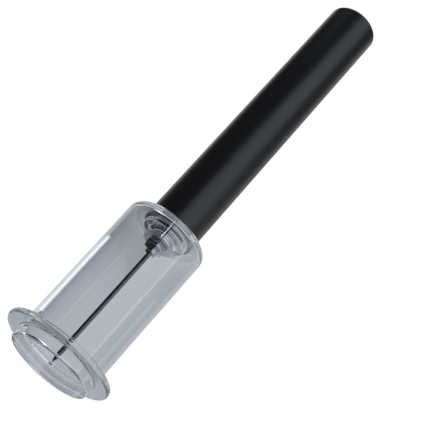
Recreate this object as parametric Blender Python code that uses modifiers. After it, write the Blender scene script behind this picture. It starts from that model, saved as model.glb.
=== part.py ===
"""Air pump wine opener, standing on the mouth of its clear guide cup.

A hollow needle runs down the middle of the cup. Above the cup's roof a plain piston pump hides in
the black handle: the handle slides on an inner cylinder and carries the rod and the piston, and a
ball valve under the cylinder lets the air out through the needle. The pump lifts out of the cup's
roof, which strips the cork off the needle.

The Z axis is the axis of the whole object, and Z = 0 is the rim that the cup stands on.
"""

import math
from dataclasses import dataclass

import bmesh
import bpy
from mathutils import Vector

# Gap left between two pieces that touch or slide
CLEARANCE = 0.0003

# Guide cup
CUP_HEIGHT = 0.0740
CUP_RADIUS = 0.0180
CUP_MOUTH_DRAFT = 0.0002
CUP_SHOULDER_DRAFT = 0.0004
CUP_WALL = 0.0020
CUP_ROOF = 0.0024
CUP_SHOULDER_FILLET = 0.0036
CUP_INNER_FILLET = 0.0020
CUP_RIM_FILLET = 0.0003
LEAD_IN_HEIGHT = 0.0014
LEAD_IN_WIDTH = 0.0008
COLLAR_HEIGHT = 0.0016
COLLAR_WALL = 0.0025
COLLAR_FILLET = 0.0003

# Finger flange round the cup's mouth
FINGER_FLANGE_WIDTH = 0.0063
FINGER_FLANGE_UNDERSIDE = 0.0048
FINGER_FLANGE_THICKNESS = 0.0024
FINGER_FLANGE_FILLET = 0.0009
FINGER_FLANGE_ROOT_FILLET = 0.0006

# Pump base: a flange on the roof, a spigot and nose below it, a plug above it
SPIGOT_RADIUS = 0.0072
NOSE_STEP = 0.0017
NOSE_LENGTH = 0.0027
BASE_FLANGE_THICKNESS = 0.0016
PLUG_LENGTH = 0.0072
OUTLET_RADIUS = 0.0010
OUTLET_LENGTH = 0.0022
BASE_FILLET = 0.0003

# O-rings, and how far the one in the roof stands out of its groove
O_RING_SECTION = 0.0013
O_RING_PROUD = 0.0001

# Needle and the hub that carries it
NEEDLE_RADIUS = 0.0010
NEEDLE_BORE_RADIUS = 0.0005
NEEDLE_EXPOSED_LENGTH = 0.0588
NEEDLE_SEAT_DEPTH = 0.0036
NEEDLE_POINT_LENGTH = 0.0030
NEEDLE_SOLID_ABOVE_POINT = 0.0012
NEEDLE_PORT_RADIUS = 0.0004
NEEDLE_PORT_RISE = 0.0010
HUB_BOSS_RADIUS = 0.0024
HUB_BOSS_LENGTH = 0.0026
HUB_HEX_CORNER_RADIUS = 0.0048
HUB_HEX_HEIGHT = 0.0024
HUB_SHANK_RADIUS = 0.0029
HUB_SHANK_LENGTH = 0.0034
HUB_DUCT_RADIUS = 0.0007
HUB_FILLET = 0.0003
HUB_WASHER_INSET = 0.0001
HUB_WASHER_THICKNESS = 0.0007

# Outlet valve in the pump base
VALVE_BALL_RADIUS = 0.0022
VALVE_SEAT_THICKNESS = 0.0012
VALVE_SEAT_BORE_RADIUS = 0.0013
VALVE_SPRING_INSET = 0.0005
VALVE_WIRE_RADIUS = 0.00025
VALVE_SPRING_TURNS = 4

# Pump cylinder and its cap
CYLINDER_WALL = 0.0011
CYLINDER_CAP_FLANGE = 0.0016
CYLINDER_CAP_SPIGOT = 0.0040
VENT_RADIUS = 0.0008
VENT_COUNT = 4

# Piston, from its screw up
PISTON_DEAD_GAP = 0.0008
PISTON_SCREW_HEAD_RADIUS = 0.0028
PISTON_SCREW_HEAD_HEIGHT = 0.0015
PISTON_SCREW_SHANK_RADIUS = 0.0015
PISTON_SCREW_GRIP = 0.0040
SEAL_WASHER_INSET = 0.0006
SEAL_WASHER_THICKNESS = 0.0010
SEAL_WEB = 0.0012
SEAL_LIP_WALL = 0.0010
PISTON_RUNNING_GAP = 0.0004
PISTON_HEAD_HEIGHT = 0.0080
PISTON_HEAD_FLOOR = 0.0030
PISTON_FILLET = 0.0004
PULL_BUFFER_WALL = 0.0022
PULL_BUFFER_THICKNESS = 0.0020
ROD_RADIUS = 0.0025

# Handle, from its top down
HANDLE_LENGTH = 0.1400
HANDLE_RADIUS = 0.0116
HANDLE_WALL = 0.0013
HANDLE_EDGE_FILLET = 0.0002
END_CAP_HEIGHT = 0.0096
END_CAP_FILLET = 0.0017
END_CAP_PLATE = 0.0026
END_CAP_PLUG_LENGTH = 0.0060
END_CAP_PLUG_WALL = 0.0014
END_CAP_BOSS_WALL = 0.0018
END_CAP_BOSS_LENGTH = 0.0100
LOCK_NUT_CORNER_WALL = 0.0016
LOCK_NUT_THICKNESS = 0.0024
PUSH_BUFFER_WALL = 0.0024
PUSH_BUFFER_THICKNESS = 0.0030
BUSH_WALL = 0.0013
BUSH_LENGTH = 0.0100
BUSH_SLOT_WIDTH = 0.0020

# Facets round a piece, by its size, and in a fillet
WIDE_STEPS = 48
MIDDLE_STEPS = 32
NARROW_STEPS = 20
HEX_STEPS = 6
RING_SECTION_STEPS = 8
SPRING_STEPS = 9
LARGE_FILLET_STEPS = 5
SMALL_FILLET_STEPS = 2
LARGE_FILLET_LIMIT = 0.0015
SHARP_ANGLE = math.radians(35.0)

# How far a cutter runs past what it cuts, and the distance at which a turned piece is joined
CUT_OVERRUN = 0.0010
MERGE_DISTANCE = 0.00001

PARTS_COLLECTION = "air_pump_wine_opener"
CUTTERS_COLLECTION = "cutters"

# Radii that follow from what a piece fits
CUP_MOUTH_RADIUS = CUP_RADIUS - CUP_MOUTH_DRAFT
CUP_SHOULDER_RADIUS = CUP_RADIUS + CUP_SHOULDER_DRAFT
FINGER_FLANGE_RADIUS = CUP_RADIUS + FINGER_FLANGE_WIDTH
CUP_BORE_RADIUS = SPIGOT_RADIUS + O_RING_PROUD + CLEARANCE
COLLAR_RADIUS = CUP_BORE_RADIUS + COLLAR_WALL
NOSE_RADIUS = SPIGOT_RADIUS - NOSE_STEP
HUB_WASHER_RADIUS = SPIGOT_RADIUS - HUB_WASHER_INSET
NEEDLE_SOCKET_RADIUS = NEEDLE_RADIUS + CLEARANCE
SHANK_BORE_RADIUS = HUB_SHANK_RADIUS + CLEARANCE
VALVE_SPRING_RADIUS = VALVE_BALL_RADIUS - VALVE_SPRING_INSET
HANDLE_BORE_RADIUS = HANDLE_RADIUS - HANDLE_WALL
HANDLE_INSERT_RADIUS = HANDLE_BORE_RADIUS - CLEARANCE
BUSH_BORE_RADIUS = HANDLE_INSERT_RADIUS - BUSH_WALL
CYLINDER_RADIUS = BUSH_BORE_RADIUS - CLEARANCE
CYLINDER_BORE_RADIUS = CYLINDER_RADIUS - CYLINDER_WALL
CYLINDER_INSERT_RADIUS = CYLINDER_BORE_RADIUS - CLEARANCE
PISTON_HEAD_RADIUS = CYLINDER_BORE_RADIUS - PISTON_RUNNING_GAP
SEAL_LIP_BORE_RADIUS = CYLINDER_INSERT_RADIUS - SEAL_LIP_WALL
SEAL_WASHER_RADIUS = SEAL_LIP_BORE_RADIUS - SEAL_WASHER_INSET
ROD_BORE_RADIUS = ROD_RADIUS + CLEARANCE
SCREW_BORE_RADIUS = PISTON_SCREW_SHANK_RADIUS + CLEARANCE
VENT_CIRCLE_RADIUS = (ROD_BORE_RADIUS + CYLINDER_INSERT_RADIUS) / 2
SPIGOT_RING_RADIUS = SPIGOT_RADIUS + O_RING_PROUD - O_RING_SECTION / 2
PLUG_RING_RADIUS = CYLINDER_INSERT_RADIUS - O_RING_SECTION / 2
GROOVE_HALF_HEIGHT = O_RING_SECTION / 2 + CLEARANCE

# Places along the axis, worked out from the sizes above
ROOF_UNDERSIDE = CUP_HEIGHT - CUP_ROOF
COLLAR_BOTTOM = ROOF_UNDERSIDE - COLLAR_HEIGHT
BASE_LEVEL = CUP_HEIGHT + CLEARANCE
BASE_FLANGE_TOP = BASE_LEVEL + BASE_FLANGE_THICKNESS
PLUG_TOP = BASE_FLANGE_TOP + PLUG_LENGTH
CHAMBER_TOP = PLUG_TOP - OUTLET_LENGTH
NOSE_BOTTOM = COLLAR_BOTTOM - NOSE_LENGTH
HUB_WASHER_BOTTOM = NOSE_BOTTOM - CLEARANCE - HUB_WASHER_THICKNESS
HUB_HEX_TOP = HUB_WASHER_BOTTOM - CLEARANCE
HUB_HEX_BOTTOM = HUB_HEX_TOP - HUB_HEX_HEIGHT
HUB_BOTTOM = HUB_HEX_BOTTOM - HUB_BOSS_LENGTH
HUB_TOP = HUB_HEX_TOP + HUB_SHANK_LENGTH
NEEDLE_TIP = HUB_BOTTOM - NEEDLE_EXPOSED_LENGTH
NEEDLE_TOP = HUB_BOTTOM + NEEDLE_SEAT_DEPTH
VALVE_SEAT_BOTTOM = CHAMBER_TOP - CLEARANCE - VALVE_SEAT_THICKNESS
VALVE_BALL_DROP = math.sqrt(VALVE_BALL_RADIUS**2 - VALVE_SEAT_BORE_RADIUS**2)
VALVE_BALL_CENTRE = VALVE_SEAT_BOTTOM - VALVE_BALL_DROP - CLEARANCE
VALVE_BALL_AT_SPRING = math.sqrt(VALVE_BALL_RADIUS**2 - VALVE_SPRING_RADIUS**2)
SPRING_BOTTOM = HUB_TOP + CLEARANCE + VALVE_WIRE_RADIUS
SPRING_TOP = VALVE_BALL_CENTRE - VALVE_BALL_AT_SPRING - CLEARANCE - VALVE_WIRE_RADIUS
HANDLE_TOP = BASE_LEVEL + HANDLE_LENGTH
END_CAP_SEAM = HANDLE_TOP - END_CAP_HEIGHT
END_CAP_PLATE_UNDERSIDE = HANDLE_TOP - END_CAP_PLATE
BOSS_BOTTOM = END_CAP_PLATE_UNDERSIDE - END_CAP_BOSS_LENGTH
LOCK_NUT_BOTTOM = BOSS_BOTTOM - CLEARANCE - LOCK_NUT_THICKNESS
PUSH_BUFFER_BOTTOM = LOCK_NUT_BOTTOM - CLEARANCE - PUSH_BUFFER_THICKNESS
CYLINDER_CAP_LEVEL = PUSH_BUFFER_BOTTOM - CLEARANCE - CYLINDER_CAP_FLANGE
CYLINDER_TOP = CYLINDER_CAP_LEVEL - CLEARANCE
CYLINDER_BOTTOM = BASE_FLANGE_TOP + CLEARANCE
PISTON_SCREW_BOTTOM = PLUG_TOP + PISTON_DEAD_GAP
SEAL_WASHER_BOTTOM = PISTON_SCREW_BOTTOM + PISTON_SCREW_HEAD_HEIGHT + CLEARANCE
SEAL_WEB_BOTTOM = SEAL_WASHER_BOTTOM + SEAL_WASHER_THICKNESS + CLEARANCE
PISTON_HEAD_BOTTOM = SEAL_WEB_BOTTOM + SEAL_WEB + CLEARANCE
PISTON_HEAD_TOP = PISTON_HEAD_BOTTOM + PISTON_HEAD_HEIGHT
SEAL_LIP_BOTTOM = PISTON_SCREW_BOTTOM + CLEARANCE
PULL_BUFFER_BOTTOM = PISTON_HEAD_TOP + CLEARANCE
PULL_BUFFER_TOP = PULL_BUFFER_BOTTOM + PULL_BUFFER_THICKNESS
ROD_BOTTOM = PISTON_HEAD_BOTTOM + PISTON_HEAD_FLOOR + CLEARANCE
ROD_TOP = END_CAP_PLATE_UNDERSIDE - CLEARANCE
SCREW_TOP = ROD_BOTTOM + PISTON_SCREW_GRIP
SPIGOT_RING_LEVEL = (COLLAR_BOTTOM + BASE_LEVEL) / 2
PLUG_RING_LEVEL = (BASE_FLANGE_TOP + PLUG_TOP) / 2

# How far each slide goes
PUMP_STROKE = CYLINDER_CAP_LEVEL - CYLINDER_CAP_SPIGOT - PULL_BUFFER_TOP - CLEARANCE
CUP_RELEASE = COLLAR_BOTTOM - NEEDLE_TIP


@dataclass
class Carrier:
    """An empty on the axis that carries the pieces of one body, and its level."""

    empty: bpy.types.Object
    level: float


def clear_scene():
    for old in list(bpy.data.objects):
        bpy.data.objects.remove(old, do_unlink=True)


def new_collection(name):
    collection = bpy.data.collections.new(name)
    bpy.context.scene.collection.children.link(collection)
    return collection


def new_carrier(name, level, parent=None):
    empty = bpy.data.objects.new(name, None)
    bpy.data.collections[PARTS_COLLECTION].objects.link(empty)
    empty.empty_display_size = HANDLE_RADIUS
    empty.parent = parent.empty if parent else None
    empty.location.z = level - (parent.level if parent else 0.0)
    return Carrier(empty, level)


def principled(piece_name, colour, roughness, metallic=0.0, alpha=1.0):
    material = bpy.data.materials.new(piece_name + "_finish")
    material.use_nodes = True
    shader = material.node_tree.nodes["Principled BSDF"]
    shader.inputs["Base Color"].default_value = (*colour, 1.0)
    shader.inputs["Roughness"].default_value = roughness
    shader.inputs["Metallic"].default_value = metallic
    shader.inputs["Alpha"].default_value = alpha
    material.diffuse_color = (*colour, alpha)
    return material


def smoky_clear_plastic(piece_name):
    return principled(piece_name, (0.42, 0.47, 0.52), 0.05, alpha=0.35)


def satin_black_plastic(piece_name):
    return principled(piece_name, (0.008, 0.008, 0.010), 0.40)


def grey_plastic(piece_name):
    return principled(piece_name, (0.18, 0.18, 0.19), 0.45)


def black_rubber(piece_name):
    return principled(piece_name, (0.012, 0.012, 0.012), 0.70)


def bright_steel(piece_name):
    return principled(piece_name, (0.55, 0.56, 0.57), 0.20, metallic=1.0)


def dark_steel(piece_name):
    return principled(piece_name, (0.20, 0.20, 0.21), 0.25, metallic=1.0)


def drawn_aluminium(piece_name):
    return principled(piece_name, (0.60, 0.61, 0.63), 0.30, metallic=1.0)


def dress_and_place(piece, finish, level, carrier):
    """Give a piece its own finish, and set its origin at a level on the carrier's axis."""
    piece.data.materials.append(finish(piece.name))
    bpy.data.collections[PARTS_COLLECTION].objects.link(piece)
    piece.parent = carrier.empty
    piece.location.z = level - carrier.level
    return piece


def fillet_points(before, corner, after, fillet):
    """Points of the arc that rounds a corner between its two neighbours."""
    to_before = (before - corner).normalized()
    to_after = (after - corner).normalized()
    half_angle = to_before.angle(to_after) / 2
    centre = corner + (to_before + to_after).normalized() * fillet / math.sin(half_angle)
    reach = fillet / math.tan(half_angle)
    start = corner + to_before * reach - centre
    end = corner + to_after * reach - centre
    start_angle = math.atan2(start.y, start.x)
    sweep = math.remainder(math.atan2(end.y, end.x) - start_angle, math.tau)
    steps = LARGE_FILLET_STEPS if fillet > LARGE_FILLET_LIMIT else SMALL_FILLET_STEPS
    angles = [start_angle + sweep * step / steps for step in range(steps + 1)]
    return [centre + Vector((math.cos(angle), math.sin(angle))) * fillet for angle in angles]


def rounded_outline(corners):
    """Points of an outline given as (radius, height) or (radius, height, fillet) corners."""
    places = [Vector(corner[:2]) for corner in corners]
    points = []
    for index, corner in enumerate(corners):
        if len(corner) == 3:
            after = places[(index + 1) % len(places)]
            points += fillet_points(places[index - 1], places[index], after, corner[2])
        else:
            points.append(places[index])
    return points


def turned(name, corners, steps):
    """A piece turned about Z, settled as a mesh.

    The corners run down the outer side and back up the inner one. An outline that starts on the
    axis is left open there, and any other is a closed loop.
    """
    points = rounded_outline(corners)
    outline = bmesh.new()
    verts = [outline.verts.new((point.x, 0.0, point.y)) for point in points]
    for first, second in zip(verts, verts[1:]):
        outline.edges.new((first, second))
    if points[0].x > 0.0:
        outline.edges.new((verts[-1], verts[0]))
    mesh = bpy.data.meshes.new(name)
    outline.to_mesh(mesh)
    outline.free()
    piece = bpy.data.objects.new(name, mesh)
    screw = piece.modifiers.new("turn", "SCREW")
    screw.steps = steps
    screw.render_steps = steps
    screw.use_merge_vertices = True
    screw.merge_threshold = MERGE_DISTANCE
    return piece


def from_bmesh(name, shape):
    mesh = bpy.data.meshes.new(name)
    shape.to_mesh(mesh)
    shape.free()
    return bpy.data.objects.new(name, mesh)


def prism(name, radius, bottom, top, segments):
    """An upright prism, or a cylinder when it has many segments."""
    shape = bmesh.new()
    bmesh.ops.create_cone(
        shape, cap_ends=True, segments=segments, radius1=radius, radius2=radius, depth=top - bottom
    )
    bmesh.ops.translate(shape, verts=shape.verts, vec=(0.0, 0.0, (bottom + top) / 2))
    return from_bmesh(name, shape)


def combine(piece, tool, operation):
    """Cut a tool out of a piece, or join it on, with a Boolean modifier."""
    bpy.data.collections[CUTTERS_COLLECTION].objects.link(tool)
    tool.hide_render = True
    tool.display_type = "WIRE"
    tool.parent = piece
    boolean = piece.modifiers.new(tool.name, "BOOLEAN")
    boolean.object = tool
    boolean.operation = operation
    boolean.solver = "EXACT"


def o_ring(name, ring_radius):
    bpy.ops.mesh.primitive_torus_add(
        major_radius=ring_radius,
        minor_radius=O_RING_SECTION / 2,
        major_segments=MIDDLE_STEPS,
        minor_segments=RING_SECTION_STEPS,
    )
    piece = bpy.context.active_object
    piece.name = name
    for collection in piece.users_collection:
        collection.objects.unlink(piece)
    return piece


def washer(name, radius, bore_radius, thickness, steps):
    corners = [(bore_radius, thickness), (radius, thickness), (radius, 0.0), (bore_radius, 0.0)]
    return turned(name, corners, steps)


def groove(radius, ring_radius, level):
    """Corners of an O-ring groove, down an outer side of the given radius."""
    floor_radius = ring_radius - O_RING_SECTION / 2 - CLEARANCE
    top = level + GROOVE_HALF_HEIGHT
    bottom = level - GROOVE_HALF_HEIGHT
    return [(radius, top), (floor_radius, top), (floor_radius, bottom), (radius, bottom)]


def guide_cup(cup):
    """The clear cup: roof with a bore and collar, tapered wall, finger flange and mouth rim."""
    flange_top = FINGER_FLANGE_UNDERSIDE + FINGER_FLANGE_THICKNESS
    mouth_bore_radius = CUP_RADIUS - CUP_WALL
    outer_side = [
        (CUP_BORE_RADIUS, CUP_HEIGHT),
        (CUP_SHOULDER_RADIUS, CUP_HEIGHT, CUP_SHOULDER_FILLET),
        (CUP_RADIUS, flange_top, FINGER_FLANGE_ROOT_FILLET),
        (FINGER_FLANGE_RADIUS, flange_top, FINGER_FLANGE_FILLET),
        (FINGER_FLANGE_RADIUS, FINGER_FLANGE_UNDERSIDE, FINGER_FLANGE_FILLET),
        (CUP_RADIUS, FINGER_FLANGE_UNDERSIDE, FINGER_FLANGE_ROOT_FILLET),
        (CUP_MOUTH_RADIUS, 0.0, CUP_RIM_FILLET),
    ]
    inner_side = [
        (mouth_bore_radius + LEAD_IN_WIDTH, 0.0),
        (mouth_bore_radius, LEAD_IN_HEIGHT),
        (CUP_SHOULDER_RADIUS - CUP_WALL, ROOF_UNDERSIDE, CUP_INNER_FILLET),
        (COLLAR_RADIUS, ROOF_UNDERSIDE),
        (COLLAR_RADIUS, COLLAR_BOTTOM, COLLAR_FILLET),
        (CUP_BORE_RADIUS, COLLAR_BOTTOM, COLLAR_FILLET),
    ]
    piece = turned("guide_cup", outer_side + inner_side, WIDE_STEPS)
    dress_and_place(piece, smoky_clear_plastic, cup.level, cup)


def pump_base(stem):
    """The turned base: plug with a groove, flange, spigot with a groove, nose, valve chamber."""
    plug_top = PLUG_TOP - stem.level
    flange_top = BASE_FLANGE_THICKNESS
    spigot_bottom = COLLAR_BOTTOM - stem.level
    nose_bottom = NOSE_BOTTOM - stem.level
    chamber_top = CHAMBER_TOP - stem.level
    corners = [
        (OUTLET_RADIUS, plug_top),
        (CYLINDER_INSERT_RADIUS, plug_top, BASE_FILLET),
        *groove(CYLINDER_INSERT_RADIUS, PLUG_RING_RADIUS, PLUG_RING_LEVEL - stem.level),
        (CYLINDER_INSERT_RADIUS, flange_top),
        (HANDLE_INSERT_RADIUS, flange_top, BASE_FILLET),
        (HANDLE_INSERT_RADIUS, 0.0),
        (SPIGOT_RADIUS, 0.0),
        *groove(SPIGOT_RADIUS, SPIGOT_RING_RADIUS, SPIGOT_RING_LEVEL - stem.level),
        (SPIGOT_RADIUS, spigot_bottom, BASE_FILLET),
        (NOSE_RADIUS, spigot_bottom),
        (NOSE_RADIUS, nose_bottom, BASE_FILLET),
        (SHANK_BORE_RADIUS, nose_bottom),
        (SHANK_BORE_RADIUS, chamber_top),
        (OUTLET_RADIUS, chamber_top),
    ]
    dress_and_place(turned("pump_base", corners, MIDDLE_STEPS), dark_steel, stem.level, stem)


def base_rings(stem):
    """The O-ring that grips the cup's roof, and the one that seals the base in the cylinder."""
    spigot_ring = o_ring("spigot_o_ring", SPIGOT_RING_RADIUS)
    dress_and_place(spigot_ring, black_rubber, SPIGOT_RING_LEVEL, stem)
    plug_ring = o_ring("base_o_ring", PLUG_RING_RADIUS)
    dress_and_place(plug_ring, black_rubber, PLUG_RING_LEVEL, stem)


def hub_washer(stem):
    piece = washer(
        "hub_washer", HUB_WASHER_RADIUS, SHANK_BORE_RADIUS, HUB_WASHER_THICKNESS, MIDDLE_STEPS
    )
    dress_and_place(piece, dark_steel, HUB_WASHER_BOTTOM, stem)


def needle_hub(stem):
    """Boss, hexagon and shank in one piece, bored for the needle and ducted for the air."""
    hex_bottom = HUB_BOSS_LENGTH
    hex_top = hex_bottom + HUB_HEX_HEIGHT
    top = hex_top + HUB_SHANK_LENGTH
    boss_and_shank = [
        (0.0, top),
        (HUB_SHANK_RADIUS, top, HUB_FILLET),
        (HUB_SHANK_RADIUS, hex_bottom),
        (HUB_BOSS_RADIUS, hex_bottom),
        (HUB_BOSS_RADIUS, 0.0, HUB_FILLET),
        (0.0, 0.0),
    ]
    socket_and_duct = [
        (0.0, top + CUT_OVERRUN),
        (HUB_DUCT_RADIUS, top + CUT_OVERRUN),
        (HUB_DUCT_RADIUS, NEEDLE_SEAT_DEPTH + CLEARANCE),
        (NEEDLE_SOCKET_RADIUS, NEEDLE_SEAT_DEPTH + CLEARANCE),
        (NEEDLE_SOCKET_RADIUS, -CUT_OVERRUN),
        (0.0, -CUT_OVERRUN),
    ]
    piece = turned("needle_hub", boss_and_shank, NARROW_STEPS)
    hexagon = prism("hub_hexagon", HUB_HEX_CORNER_RADIUS, hex_bottom, hex_top, HEX_STEPS)
    combine(piece, hexagon, "UNION")
    combine(piece, turned("hub_bore", socket_and_duct, NARROW_STEPS), "DIFFERENCE")
    dress_and_place(piece, dark_steel, HUB_BOTTOM, stem)


def needle(stem):
    """A closed point, a bore open at the top, and one port in the side near the point."""
    top = NEEDLE_TOP - NEEDLE_TIP
    bore_end = NEEDLE_POINT_LENGTH + NEEDLE_SOLID_ABOVE_POINT
    corners = [
        (0.0, bore_end),
        (NEEDLE_BORE_RADIUS, bore_end),
        (NEEDLE_BORE_RADIUS, top),
        (NEEDLE_RADIUS, top),
        (NEEDLE_RADIUS, NEEDLE_POINT_LENGTH),
        (0.0, 0.0),
    ]
    piece = turned("needle", corners, NARROW_STEPS)
    port = prism("needle_port", NEEDLE_PORT_RADIUS, 0.0, NEEDLE_RADIUS + CUT_OVERRUN, HEX_STEPS)
    port.rotation_euler.y = math.radians(90.0)
    port.location.z = bore_end + NEEDLE_PORT_RISE
    combine(piece, port, "DIFFERENCE")
    dress_and_place(piece, bright_steel, NEEDLE_TIP, stem)


def valve_seat(stem):
    piece = washer(
        "valve_seat", HUB_SHANK_RADIUS, VALVE_SEAT_BORE_RADIUS, VALVE_SEAT_THICKNESS, NARROW_STEPS
    )
    dress_and_place(piece, black_rubber, VALVE_SEAT_BOTTOM, stem)


def valve_ball(ball_carrier):
    shape = bmesh.new()
    bmesh.ops.create_uvsphere(
        shape, u_segments=NARROW_STEPS, v_segments=NARROW_STEPS // 2, radius=VALVE_BALL_RADIUS
    )
    piece = from_bmesh("valve_ball", shape)
    dress_and_place(piece, bright_steel, VALVE_BALL_CENTRE, ball_carrier)


def spring_points(height):
    """Points along the spring's wire, a plain helix that starts at the origin's level."""
    count = VALVE_SPRING_TURNS * SPRING_STEPS
    points = []
    for step in range(count + 1):
        angle = math.tau * step / SPRING_STEPS
        rise = height * step / count
        across = Vector((math.cos(angle), math.sin(angle), 0.0)) * VALVE_SPRING_RADIUS
        points.append(across + Vector((0.0, 0.0, rise)))
    return points


def least_gap(points):
    """Smallest gap between the wire and the turns above it, measured between its points."""
    gaps = []
    for index, point in enumerate(points):
        next_turn = points[index + SPRING_STEPS // 2 + 1:]
        gaps += [(other - point).length - 2 * VALVE_WIRE_RADIUS for other in next_turn]
    return min(gaps)


def valve_spring(stem):
    """One unbroken wire from the hub's shank up to the ball."""
    points = spring_points(SPRING_TOP - SPRING_BOTTOM)
    curve = bpy.data.curves.new("valve_spring", "CURVE")
    curve.dimensions = "3D"
    curve.bevel_depth = VALVE_WIRE_RADIUS
    curve.bevel_resolution = 1
    curve.use_fill_caps = True
    wire = curve.splines.new("POLY")
    wire.points.add(len(points) - 1)
    for target, point in zip(wire.points, points):
        target.co = (*point, 1.0)
    piece = bpy.data.objects.new("valve_spring", curve)
    dress_and_place(piece, bright_steel, SPRING_BOTTOM, stem)
    print(f"valve spring least gap to itself: {least_gap(points) * 1000:.2f} mm")


def pump_cylinder(stem):
    height = CYLINDER_TOP - CYLINDER_BOTTOM
    piece = washer(
        "pump_cylinder", CYLINDER_RADIUS, CYLINDER_BORE_RADIUS, height, MIDDLE_STEPS
    )
    dress_and_place(piece, drawn_aluminium, CYLINDER_BOTTOM, stem)


def cylinder_cap(stem):
    """Cap with a spigot in the cylinder, a bore for the rod and vents round it."""
    corners = [
        (ROD_BORE_RADIUS, CYLINDER_CAP_FLANGE),
        (CYLINDER_RADIUS, CYLINDER_CAP_FLANGE, BASE_FILLET),
        (CYLINDER_RADIUS, 0.0),
        (CYLINDER_INSERT_RADIUS, 0.0),
        (CYLINDER_INSERT_RADIUS, -CYLINDER_CAP_SPIGOT, BASE_FILLET),
        (ROD_BORE_RADIUS, -CYLINDER_CAP_SPIGOT),
    ]
    piece = turned("cylinder_cap", corners, MIDDLE_STEPS)
    bottom = -CYLINDER_CAP_SPIGOT - CUT_OVERRUN
    top = CYLINDER_CAP_FLANGE + CUT_OVERRUN
    for index in range(VENT_COUNT):
        angle = math.tau * index / VENT_COUNT
        vent = prism(f"vent_{index + 1}", VENT_RADIUS, bottom, top, RING_SECTION_STEPS)
        vent.location.x = VENT_CIRCLE_RADIUS * math.cos(angle)
        vent.location.y = VENT_CIRCLE_RADIUS * math.sin(angle)
        combine(piece, vent, "DIFFERENCE")
    dress_and_place(piece, grey_plastic, CYLINDER_CAP_LEVEL, stem)


def piston_screw(handle):
    head = PISTON_SCREW_HEAD_HEIGHT
    top = SCREW_TOP - PISTON_SCREW_BOTTOM
    corners = [
        (0.0, top),
        (PISTON_SCREW_SHANK_RADIUS, top),
        (PISTON_SCREW_SHANK_RADIUS, head),
        (PISTON_SCREW_HEAD_RADIUS, head),
        (PISTON_SCREW_HEAD_RADIUS, 0.0, PISTON_FILLET),
        (0.0, 0.0),
    ]
    piece = turned("piston_screw", corners, NARROW_STEPS)
    dress_and_place(piece, bright_steel, PISTON_SCREW_BOTTOM, handle)


def seal_washer(handle):
    piece = washer(
        "seal_washer", SEAL_WASHER_RADIUS, SCREW_BORE_RADIUS, SEAL_WASHER_THICKNESS, NARROW_STEPS
    )
    dress_and_place(piece, bright_steel, SEAL_WASHER_BOTTOM, handle)


def piston_seal(handle):
    """Cup seal whose lip hangs down round the washer, towards the air that it presses."""
    lip_bottom = SEAL_LIP_BOTTOM - SEAL_WEB_BOTTOM
    corners = [
        (SCREW_BORE_RADIUS, SEAL_WEB),
        (CYLINDER_INSERT_RADIUS, SEAL_WEB, PISTON_FILLET),
        (CYLINDER_INSERT_RADIUS, lip_bottom),
        (SEAL_LIP_BORE_RADIUS, lip_bottom),
        (SEAL_LIP_BORE_RADIUS, 0.0),
        (SCREW_BORE_RADIUS, 0.0),
    ]
    piece = turned("piston_seal", corners, MIDDLE_STEPS)
    dress_and_place(piece, black_rubber, SEAL_WEB_BOTTOM, handle)


def piston_head(handle):
    corners = [
        (ROD_BORE_RADIUS, PISTON_HEAD_HEIGHT),
        (PISTON_HEAD_RADIUS, PISTON_HEAD_HEIGHT, PISTON_FILLET),
        (PISTON_HEAD_RADIUS, 0.0, PISTON_FILLET),
        (SCREW_BORE_RADIUS, 0.0),
        (SCREW_BORE_RADIUS, PISTON_HEAD_FLOOR),
        (ROD_BORE_RADIUS, PISTON_HEAD_FLOOR),
    ]
    piece = turned("piston_head", corners, MIDDLE_STEPS)
    dress_and_place(piece, grey_plastic, PISTON_HEAD_BOTTOM, handle)


def buffers(handle):
    """The rubber rings that end the pull stroke and the push stroke."""
    pull_radius = ROD_BORE_RADIUS + PULL_BUFFER_WALL
    pull = washer(
        "pull_buffer", pull_radius, ROD_BORE_RADIUS, PULL_BUFFER_THICKNESS, NARROW_STEPS
    )
    dress_and_place(pull, black_rubber, PULL_BUFFER_BOTTOM, handle)
    push_radius = ROD_BORE_RADIUS + PUSH_BUFFER_WALL
    push = washer(
        "push_buffer", push_radius, ROD_BORE_RADIUS, PUSH_BUFFER_THICKNESS, NARROW_STEPS
    )
    dress_and_place(push, black_rubber, PUSH_BUFFER_BOTTOM, handle)


def piston_rod(handle):
    """The rod, with a blind hole for the piston's screw in its lower end."""
    length = ROD_TOP - ROD_BOTTOM
    hole_top = PISTON_SCREW_GRIP + CLEARANCE
    corners = [
        (0.0, length),
        (ROD_RADIUS, length),
        (ROD_RADIUS, 0.0),
        (SCREW_BORE_RADIUS, 0.0),
        (SCREW_BORE_RADIUS, hole_top),
        (0.0, hole_top),
    ]
    dress_and_place(turned("piston_rod", corners, NARROW_STEPS), bright_steel, ROD_BOTTOM, handle)


def rod_lock_nut(handle):
    corner_radius = ROD_BORE_RADIUS + LOCK_NUT_CORNER_WALL
    piece = prism("rod_lock_nut", corner_radius, 0.0, LOCK_NUT_THICKNESS, HEX_STEPS)
    bore_top = LOCK_NUT_THICKNESS + CUT_OVERRUN
    bore = prism("lock_nut_bore", ROD_BORE_RADIUS, -CUT_OVERRUN, bore_top, NARROW_STEPS)
    combine(piece, bore, "DIFFERENCE")
    dress_and_place(piece, bright_steel, LOCK_NUT_BOTTOM, handle)


def handle_tube(handle):
    height = END_CAP_SEAM - CLEARANCE - handle.level
    corners = [
        (HANDLE_BORE_RADIUS, height),
        (HANDLE_RADIUS, height),
        (HANDLE_RADIUS, 0.0, HANDLE_EDGE_FILLET),
        (HANDLE_BORE_RADIUS, 0.0, HANDLE_EDGE_FILLET),
    ]
    piece = turned("handle_tube", corners, WIDE_STEPS)
    dress_and_place(piece, satin_black_plastic, handle.level, handle)


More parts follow.
